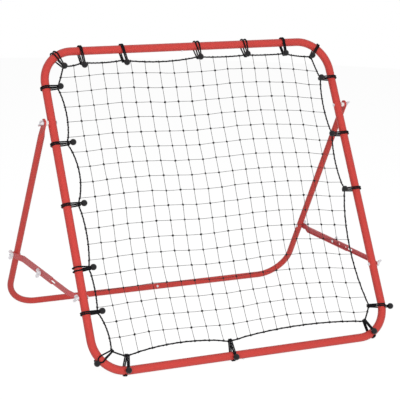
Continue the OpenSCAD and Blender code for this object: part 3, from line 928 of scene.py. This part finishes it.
class REBOUNDER_OT_stage(bpy.types.Operator):
    """Makes the pale floor, the soft lamps and the white background"""

    bl_idname = "rebounder.stage"
    bl_label = "Stage"

    def execute(self, context):
        floor = start(bpy.ops.mesh.primitive_circle_add, vertices=64, radius=5.5,
                      fill_type="NGON", location=(0, 0, -0.0005))
        floor.name = "floor"
        floor.data.materials.append(self.floor_paint())
        for name, lamp in LAMPS.items():
            self.lamp(name, *lamp)
        self.background(context.scene)
        context.scene.view_settings.view_transform = "Standard"
        return {"FINISHED"}

    def floor_paint(self):
        """White to the camera and in gloss, with a share of plain paint for the shadow."""
        material = bpy.data.materials.new("floor_paint")
        nodes = Nodes(material)
        seen = nodes.ray("Camera").larger(nodes.ray("Glossy"))
        paint = nodes.node("ShaderNodeBsdfDiffuse", {}, {"Color": (0.86, 0.86, 0.86, 1)})
        glow = nodes.node("ShaderNodeEmission", {}, {"Strength": 1.17})
        nodes.show("ShaderNodeOutputMaterial", 0.78 * seen, paint, glow)
        return material

    def lamp(self, name, place, size, power):
        """A square lamp that faces the middle of the stand and doesn't show in gloss."""
        data = bpy.data.lights.new(name, "AREA")
        data.shape = "SQUARE"
        data.size = size
        data.energy = power
        obj = bpy.data.objects.new(name, data)
        bpy.context.collection.objects.link(obj)
        obj.location = place
        obj.visible_glossy = False
        ahead = LAMP_AIM - Vector(place)
        obj.rotation_euler = ahead.to_track_quat("-Z", "Y").to_euler()

    def background(self, scene):
        """White to the camera, in gloss and through clear pieces, and dim as a light."""
        scene.world = bpy.data.worlds.new("studio")
        nodes = Nodes(scene.world)
        seen = nodes.ray("Camera").larger(nodes.ray("Glossy")).larger(nodes.ray("Transmission"))
        dim, white = (
            nodes.node("ShaderNodeBackground", {}, {"Color": (1, 1, 1, 1), "Strength": strength})
            for strength in (0.26, 1.0)
        )
        nodes.show("ShaderNodeOutputWorld", seen, dim, white)


class REBOUNDER_OT_frame_finish(bpy.types.Operator):
    """Paints the tubes and the struts"""

    bl_idname = "rebounder.frame_finish"
    bl_label = "Tube and Strut Paint"

    def execute(self, context):
        paint = context.scene.rebounder_paint
        tube = powder_coat("tube_powder_coat", paint.tube, roughness=0.42)
        finish_nodes(tube.material, "frame_half", "leg_half")
        strut = powder_coat("strut_paint", paint.strut, roughness=0.50)
        finish_nodes(strut.material, "strut_front", "strut_rear")
        return {"FINISHED"}


class REBOUNDER_OT_fastener_finish(bpy.types.Operator):
    """Plates the bolts and screws and finishes the spacers"""

    bl_idname = "rebounder.fastener_finish"
    bl_label = "Bolts and Spacers"

    def execute(self, context):
        paint = context.scene.rebounder_paint
        bolt = zinc_plate("bolt_zinc", paint.zinc, roughness=0.30)
        finish_nodes(
            bolt.material,
            "pivot_bolt", "frame_strut_bolt", "leg_strut_bolt", "strut_mid_bolt",
            "frame_joint_screws", "leg_joint_screw",
        )
        finish_nodes(moulded_nylon("spacer_nylon", paint.nylon).material, "pivot_spacer")
        return {"FINISHED"}


class REBOUNDER_OT_wing_nuts(bpy.types.Operator):
    """Models one cast wing nut and puts a copy on each bolt"""

    bl_idname = "rebounder.wing_nuts"
    bl_label = "Wing Nuts"

    def execute(self, context):
        zinc = zinc_plate("nut_zinc", context.scene.rebounder_paint.zinc, roughness=0.34)
        model = joined([self.hub(), self.wing(0), self.wing(math.pi)], "wing_nut")
        modify(model, "REMESH", mode="VOXEL", voxel_size=0.00042)
        modify(model, "SMOOTH", factor=0.5, iterations=5)
        modify(model, "DECIMATE", ratio=0.3)
        for name, matrix, base, turn in (
            ("pivot", on_leg(), PIVOT_NUT_X, 20),
            ("frame", on_strut(0), FRAME_NUT_X, 35),
            ("leg", on_strut(STRUT_LENGTH), LEG_NUT_X, 5),
            ("mid", on_strut(STRUT_LENGTH - MID_BOLT_AT), MID_NUT_X, 15),
        ):
            on_bolt = (
                Matrix.Translation((base, 0, 0))
                @ Matrix.Rotation(math.pi / 2, 4, "Y")
                @ Matrix.Rotation(math.radians(turn), 4, "Z")
            )
            mirror = Matrix.Scale(-1, 4, (1, 0, 0))
            for side, sided in (("right", Matrix.Identity(4)), ("left", mirror)):
                node = f"wing_nut_{name}_{side}"
                nut = copy_of(model, matrix @ sided @ on_bolt, f"cast_{node}")
                put(nut, node, "zinc_nut", zinc.material, node)
        bpy.data.objects.remove(model)
        return {"FINISHED"}

    def hub(self):
        """The round boss: wider at its base, with a bore through it."""
        hub = start(bpy.ops.mesh.primitive_cylinder_add, vertices=40, radius=NUT_HUB_R,
                    depth=NUT_H, location=(0, 0, NUT_H / 2))
        bpy.ops.object.transform_apply(location=True, rotation=True, scale=True)
        bpy.ops.object.mode_set(mode="EDIT")
        pick(hub, faces=lambda f: f.normal.z < -0.9)
        bpy.ops.transform.resize(value=(HUB_FOOT, HUB_FOOT, 1))
        pick(hub, faces=lambda f: f.normal.z > 0.9)
        bpy.ops.transform.resize(value=(HUB_TOP, HUB_TOP, 1))
        pick(hub, faces=lambda f: abs(f.normal.z) > 0.9)
        bpy.ops.mesh.delete(type="ONLY_FACE")
        pick(hub, edges=lambda e: e.is_boundary)
        bpy.ops.mesh.extrude_edges_move()
        bpy.ops.transform.resize(value=(0.5, 0.5, 1))
        bpy.ops.object.mode_set(mode="OBJECT")
        self.square_bore(hub)
        return hub

    def square_bore(self, hub):
        """Brings the two inner rings to the bore's radius and joins them."""
        bpy.ops.object.mode_set(mode="EDIT")
        mesh = bmesh.from_edit_mesh(hub.data)
        for vert in mesh.verts:
            if math.hypot(vert.co.x, vert.co.y) < NUT_HUB_R * 0.8:
                flat = Vector((vert.co.x, vert.co.y, 0)).normalized() * NUT_BORE_R
                vert.co.x, vert.co.y = flat.x, flat.y
        bmesh.update_edit_mesh(hub.data)
        pick(hub, edges=lambda e: e.is_boundary)
        bpy.ops.mesh.bridge_edge_loops()
        close_edit()

    def wing(self, turn):
        """A round-tipped wing that widens into the boss."""
        wing = start(bpy.ops.mesh.primitive_cylinder_add, vertices=28, radius=WING_TIP_R,
                     depth=WING_T, location=WING_TIP, rotation=(math.pi / 2, 0, 0))
        bpy.ops.object.transform_apply(location=True, rotation=True, scale=True)
        run = WING_ROOT - WING_TIP
        inward = run.normalized()
        bpy.ops.object.mode_set(mode="EDIT")
        pick(wing, faces=lambda f: abs(f.normal.y) < 0.5 and f.normal.dot(inward) > 0.05)
        for share, size in WING_LENGTHS:
            bpy.ops.mesh.extrude_region_move(TRANSFORM_OT_translate={"value": share * run})
            bpy.ops.transform.resize(value=size)
        close_edit()
        wing.data.transform(Matrix.Rotation(turn, 4, "Z"))
        return wing


class REBOUNDER_OT_net(bpy.types.Operator):
    """Knots the square net and laces it to the rope"""

    bl_idname = "rebounder.net"
    bl_label = "Net"

    def execute(self, context):
        self.net = context.scene.rebounder_net
        paint = context.scene.rebounder_paint
        self.line = rope_line()
        self.wander = random.Random(7)
        self.jitter = {}
        twine = twisted("net_twine_lay", paint.twine, **TWINE_LAY)
        strands, lashings = Skein(), Skein()
        knots = set()
        for axis in (0, 1):
            for k in range(self.net.twines):
                level = self.level(axis, k)
                (low, low_run), (high, high_run) = self.tied(axis, level)
                inner = self.inner(axis, k, low, high)
                knots.update(inner)
                ends = [on_net(low), on_net(high)]
                nodes = [self.crossing(*knot) for knot in inner]
                path = self.slackened([ends[0]] + nodes + [ends[1]])
                strands.sweep(path, self.net.twine_d / 2, TWINE_SIDES)
                for end, run in zip(ends, (low_run, high_run)):
                    self.lash(lashings, end, run)
        put(strands.piece("net_twines"), "main_frame", "net_twine", twine.material, "net")
        put(lashings.piece("net_lashings"), "main_frame", "net_twine", twine.material)
        self.tie(sorted(knots), knotted("net_knot_fibre", paint.twine).material)
        return {"FINISHED"}

    def level(self, axis, k):
        """Where twine k stands across (axis 0) or how high it is (axis 1)."""
        if axis:
            return self.net.first_row + k * self.net.pitch
        return (k - (self.net.twines - 1) / 2) * self.net.pitch

    def inner(self, axis, k, low, high):
        """The knots on twine k, as pairs of column and row."""
        other = 1 - axis
        margin = ROPE_R + self.net.knot_size / 2
        numbers = [
            m for m in range(self.net.twines)
            if low[other] + margin < self.level(other, m) < high[other] - margin
        ]
        return [(m, k) if axis else (k, m) for m in numbers]

    def tied(self, axis, level):
        """Where a twine's two ends are tied to the rope, as the net's pull moves them."""
        return [
            crossings(self.line, axis, level + self.pull(*end)[axis])[side]
            for side, (end, _) in enumerate(crossings(self.line, axis, level))
        ]

    def pull(self, x, up):
        """How far a place on the flat net is pulled across and up.

        The columns lean and weave with the height, rise, and the cross twines hang in a
        wave over the width, across. Both run from -1 to 1 over the net.
        """
        half = (self.net.twines - 1) / 2 * self.net.pitch
        across = x / half
        rise = (up - self.net.first_row - half) / half
        sway = rise - 0.71 * rise**3 - 0.275 - (0.135 - 0.2 * rise) * across
        head = self.net.head * (max(0.0, rise - 0.7) / 0.3) ** 2
        ripple = self.net.ripple * math.cos(6.5 * rise - 0.23)
        wave = 0.72 + 0.75 * rise - 0.94 * across - math.cos(5.97 * across + 0.67)
        fall = self.net.fall * min(max(0.0, across), 1.05) ** 8
        return Vector((self.net.skew * sway + head + ripple, self.net.wave * wave - fall))

    def placed(self, x, up):
        """A place on the hung net, with its pull and its belly."""
        edge = max(0.0, 1 - (x / BELLY_OUT) ** 4)
        edge *= max(0.0, 1 - ((up - BELLY_MIDDLE) / BELLY_UP) ** 4)
        x, up = Vector((x, up)) + self.pull(x, up)
        return in_frame() @ Vector((x, self.net.belly * edge, up))

    def crossing(self, column, row):
        """The middle of a knot, a hair off its true place."""
        key = (column, row)
        if key not in self.jitter:
            self.jitter[key] = [self.wander.uniform(-KNOT_STRAY, KNOT_STRAY) for _ in range(2)]
        dx, dup = self.jitter[key]
        return self.placed(self.level(0, column) + dx, self.level(1, row) + dup)

    def slackened(self, points):
        """The points with a slightly loose middle between each two."""
        path = [points[0]]
        for a, b in zip(points, points[1:]):
            loose = Vector([self.wander.uniform(*span) for span in TWINE_SLACK])
            path += [a.lerp(b, 0.5) + loose, b]
        return path

    def lash(self, skein, end, run):
        """A few turns of twine round the rope at the end of a net twine."""
        tangent = (in_frame().to_3x3() @ Vector((run.x, 0, run.y))).normalized()
        across = tangent.orthogonal().normalized()
        up = tangent.cross(across)
        r = ROPE_R * 1.06 + self.net.twine_d / 2
        turns, steps = 2, 10
        path = []
        for k in range(turns * steps + 1):
            turn = 2 * math.pi * k / steps
            shift = (k / steps - turns / 2) * self.net.twine_d * 0.9
            path.append(end + shift * tangent + r * (math.cos(turn) * across + math.sin(turn) * up))
        skein.sweep(path, self.net.twine_d * 0.46, TIE_SIDES)

    def tie(self, crossings_used, material):
        """Models one knot and puts a copy on every crossing."""
        size = self.net.knot_size
        knot = start(bpy.ops.mesh.primitive_uv_sphere_add, segments=8, ring_count=5,
                     radius=size / 2)
        bpy.ops.object.mode_set(mode="EDIT")
        bpy.ops.mesh.select_all(action="SELECT")
        bpy.ops.transform.resize(value=KNOT_SHAPE)
        pick(knot, faces=lambda f: abs(f.normal.x - f.normal.z) < 0.45)
        bpy.ops.mesh.extrude_region_shrink_fatten(
            TRANSFORM_OT_shrink_fatten={"value": -size * KNOT_GROOVE}
        )
        close_edit()
        copies = []
        for column, row in crossings_used:
            stray = self.wander.uniform(-KNOT_TURN, KNOT_TURN)
            turn = math.radians(90 * ((column + row) % 2) + stray)
            grow = self.wander.uniform(*KNOT_GROWTH)
            matrix = (
                Matrix.Translation(self.crossing(column, row))
                @ in_frame().to_3x3().to_4x4()
                @ Matrix.Rotation(turn, 4, "Y")
                @ Matrix.Scale(grow, 4)
            )
            copies.append(copy_of(knot, matrix, "knot"))
        bpy.data.objects.remove(knot)
        put(joined(copies, "net_knots"), "main_frame", "net_twine", material)


class REBOUNDER_OT_rope(bpy.types.Operator):
    """Braids the border rope and whips it with twine"""

    bl_idname = "rebounder.rope"
    bl_label = "Border Rope"

    def execute(self, context):
        cords = context.scene.rebounder_cords
        paint = context.scene.rebounder_paint
        corners = [on_net(place) for place in rope_line()]
        length = sum((a - b).length for a, b in zip(corners, corners[1:] + corners[:1]))
        steps = max(4, round(length / len(corners) / ROPE_STEP))
        path = rounded(corners, steps, closed=True)
        turns = round(length / cords.braid_pitch)

        def braid(turn, along):
            wind = math.pi * turns * along / length
            return 0.90 + 0.10 * max(
                abs(math.cos(2 * turn + wind)), abs(math.cos(2 * turn - wind))
            )

        rope = Skein()
        rope.sweep(path, ROPE_R, ROPE_SIDES, closed=True, swell=braid)
        finish = braided("rope_braid", paint.black, cords.braid_pitch, 0.0003, roughness=0.80)
        put(rope.piece("braided_rope"), "main_frame", "border_rope", finish.material, "border_rope")
        whipping = Skein()
        line = self.helix(path, length, cords.whip_pitch)
        whipping.sweep(line, WHIPPING_R, TIE_SIDES, closed=True)
        lay = twisted("whipping_lay", paint.twine, **TWINE_LAY)
        put(whipping.piece("rope_whipping"), "main_frame", "net_twine", lay.material)
        return {"FINISHED"}

    def helix(self, path, length, pitch):
        """A line that winds round the rope, a whole number of times."""
        turns = round(length / pitch)
        per_turn = 8
        count = turns * per_turn
        normal = (in_frame().to_3x3() @ Vector((0, 1, 0))).normalized()
        line = []
        for k in range(count):
            place = k * len(path) / count
            i = int(place)
            here = path[i].lerp(path[(i + 1) % len(path)], place - i)
            ahead = (path[(i + 1) % len(path)] - path[i]).normalized()
            turn = 2 * math.pi * k / per_turn
            across = ahead.cross(normal)
            line.append(
                here + (ROPE_R + SOFT_GAP) * (math.cos(turn) * normal + math.sin(turn) * across)
            )
        return line


class REBOUNDER_OT_bungees(bpy.types.Operator):
    """Loops the twenty elastic cords round the tube and the rope"""

    bl_idname = "rebounder.bungees"
    bl_label = "Bungee Cords"

    def execute(self, context):
        cords = context.scene.rebounder_cords
        black = context.scene.rebounder_paint.black
        sleeve = braided("bungee_sleeve", black, 0.0016, 0.00012, roughness=0.75)
        for bungee in ROUND_THE_NET:
            matrix = bungee.matrix()
            path = [matrix @ point for point in rounded(bungee.path(), 4)]
            skein = Skein()
            skein.sweep(path, CORD_R, cords.cord_sides)
            name = bungee.node.replace("bungee", "elastic")
            put(skein.piece(name), "main_frame", "bungee_cord", sleeve.material, bungee.node)
        return {"FINISHED"}


class REBOUNDER_OT_balls(bpy.types.Operator):
    """Moulds one bungee ball and puts a copy at the end of each cord"""

    bl_idname = "rebounder.balls"
    bl_label = "Bungee Balls"

    def execute(self, context):
        plastic = ball_plastic("ball_plastic", context.scene.rebounder_paint.black)
        model = self.ball()
        for node, bungees in BALL_GROUPS.items():
            copies = []
            for bungee in bungees:
                turn = bungee.neck().to_track_quat("Z", "Y").to_matrix().to_4x4()
                matrix = bungee.matrix() @ Matrix.Translation(bungee.ball()) @ turn
                copies.append(copy_of(model, matrix, "ball"))
            put(joined(copies, node.replace("bungee", "moulded")), "main_frame",
                "bungee_ball", plastic.material, node)
        bpy.data.objects.remove(model)
        return {"FINISHED"}

    def ball(self):
        """A ball with its cord hole upwards, a moulding line and a gate mark."""
        rings = 14
        deep, lip, mark, seam, groove = 0.005, 0.0006, 0.0004, 0.00045, 0.00022
        ball = start(bpy.ops.mesh.primitive_uv_sphere_add, segments=24, ring_count=rings,
                     radius=BALL_R)
        step = math.pi / rings
        hole = math.cos(2 * step) * BALL_R
        gate = -math.cos(step) * BALL_R
        bpy.ops.object.mode_set(mode="EDIT")
        pick(ball, faces=lambda f: f.calc_center_median().z > hole)
        bpy.ops.mesh.extrude_region_move(TRANSFORM_OT_translate={"value": (0, 0, -deep)})
        bpy.ops.transform.resize(value=(0.86, 0.86, 0.3))
        pick(ball, edges=lambda e: all(abs(v.co.z - hole) < 1e-5 for v in e.verts))
        bpy.ops.mesh.bevel(offset=lip, segments=2, affect="EDGES")
        pick(ball, faces=lambda f: f.calc_center_median().z < gate)
        bpy.ops.mesh.inset(thickness=mark)
        bpy.ops.transform.translate(value=(0, 0, mark))
        pick(ball, edges=lambda e: all(abs(v.co.z) < 1e-5 for v in e.verts))
        bpy.ops.mesh.bevel(offset=seam, segments=1, affect="EDGES")
        pick(ball, faces=lambda f: abs(f.calc_center_median().z) < seam / 2)
        bpy.ops.transform.shrink_fatten(value=-groove)
        close_edit()
        modify(ball, "SUBSURF", levels=1, render_levels=1)
        return ball


OPERATORS = (
    REBOUNDER_OT_camera,
    REBOUNDER_OT_stage,
    REBOUNDER_OT_frame_finish,
    REBOUNDER_OT_fastener_finish,
    REBOUNDER_OT_wing_nuts,
    REBOUNDER_OT_net,
    REBOUNDER_OT_rope,
    REBOUNDER_OT_bungees,
    REBOUNDER_OT_balls,
)


class REBOUNDER_PT_panel(bpy.types.Panel):
    """Lists the stand's pieces"""

    bl_idname = "REBOUNDER_PT_panel"
    bl_label = "Pitch Back Rebounder"
    bl_space_type = "VIEW_3D"
    bl_region_type = "UI"
    bl_category = "Rebounder"

    def draw(self, context):
        for operator in OPERATORS:
            self.layout.operator(operator.bl_idname)
        for group in SETTINGS:
            settings = getattr(context.scene, group)
            box = self.layout.box()
            for name in settings.bl_rna.properties.keys():
                if name not in ("rna_type", "name"):
                    box.prop(settings, name)


SETTINGS = {
    "rebounder_view": RebounderView,
    "rebounder_net": RebounderNet,
    "rebounder_cords": RebounderCords,
    "rebounder_paint": RebounderPaint,
}
CLASSES = (*SETTINGS.values(), *OPERATORS, REBOUNDER_PT_panel)


def register():
    for cls in CLASSES:
        bpy.utils.register_class(cls)
    for name, group in SETTINGS.items():
        setattr(bpy.types.Scene, name, PointerProperty(type=group))


def unregister():
    for name in SETTINGS:
        delattr(bpy.types.Scene, name)
    for cls in reversed(CLASSES):
        bpy.utils.unregister_class(cls)


def main():
    register()
    for operator in OPERATORS:
        group, name = operator.bl_idname.split(".")
        getattr(getattr(bpy.ops, group), name)()


if __name__ == "__main__":
    main()
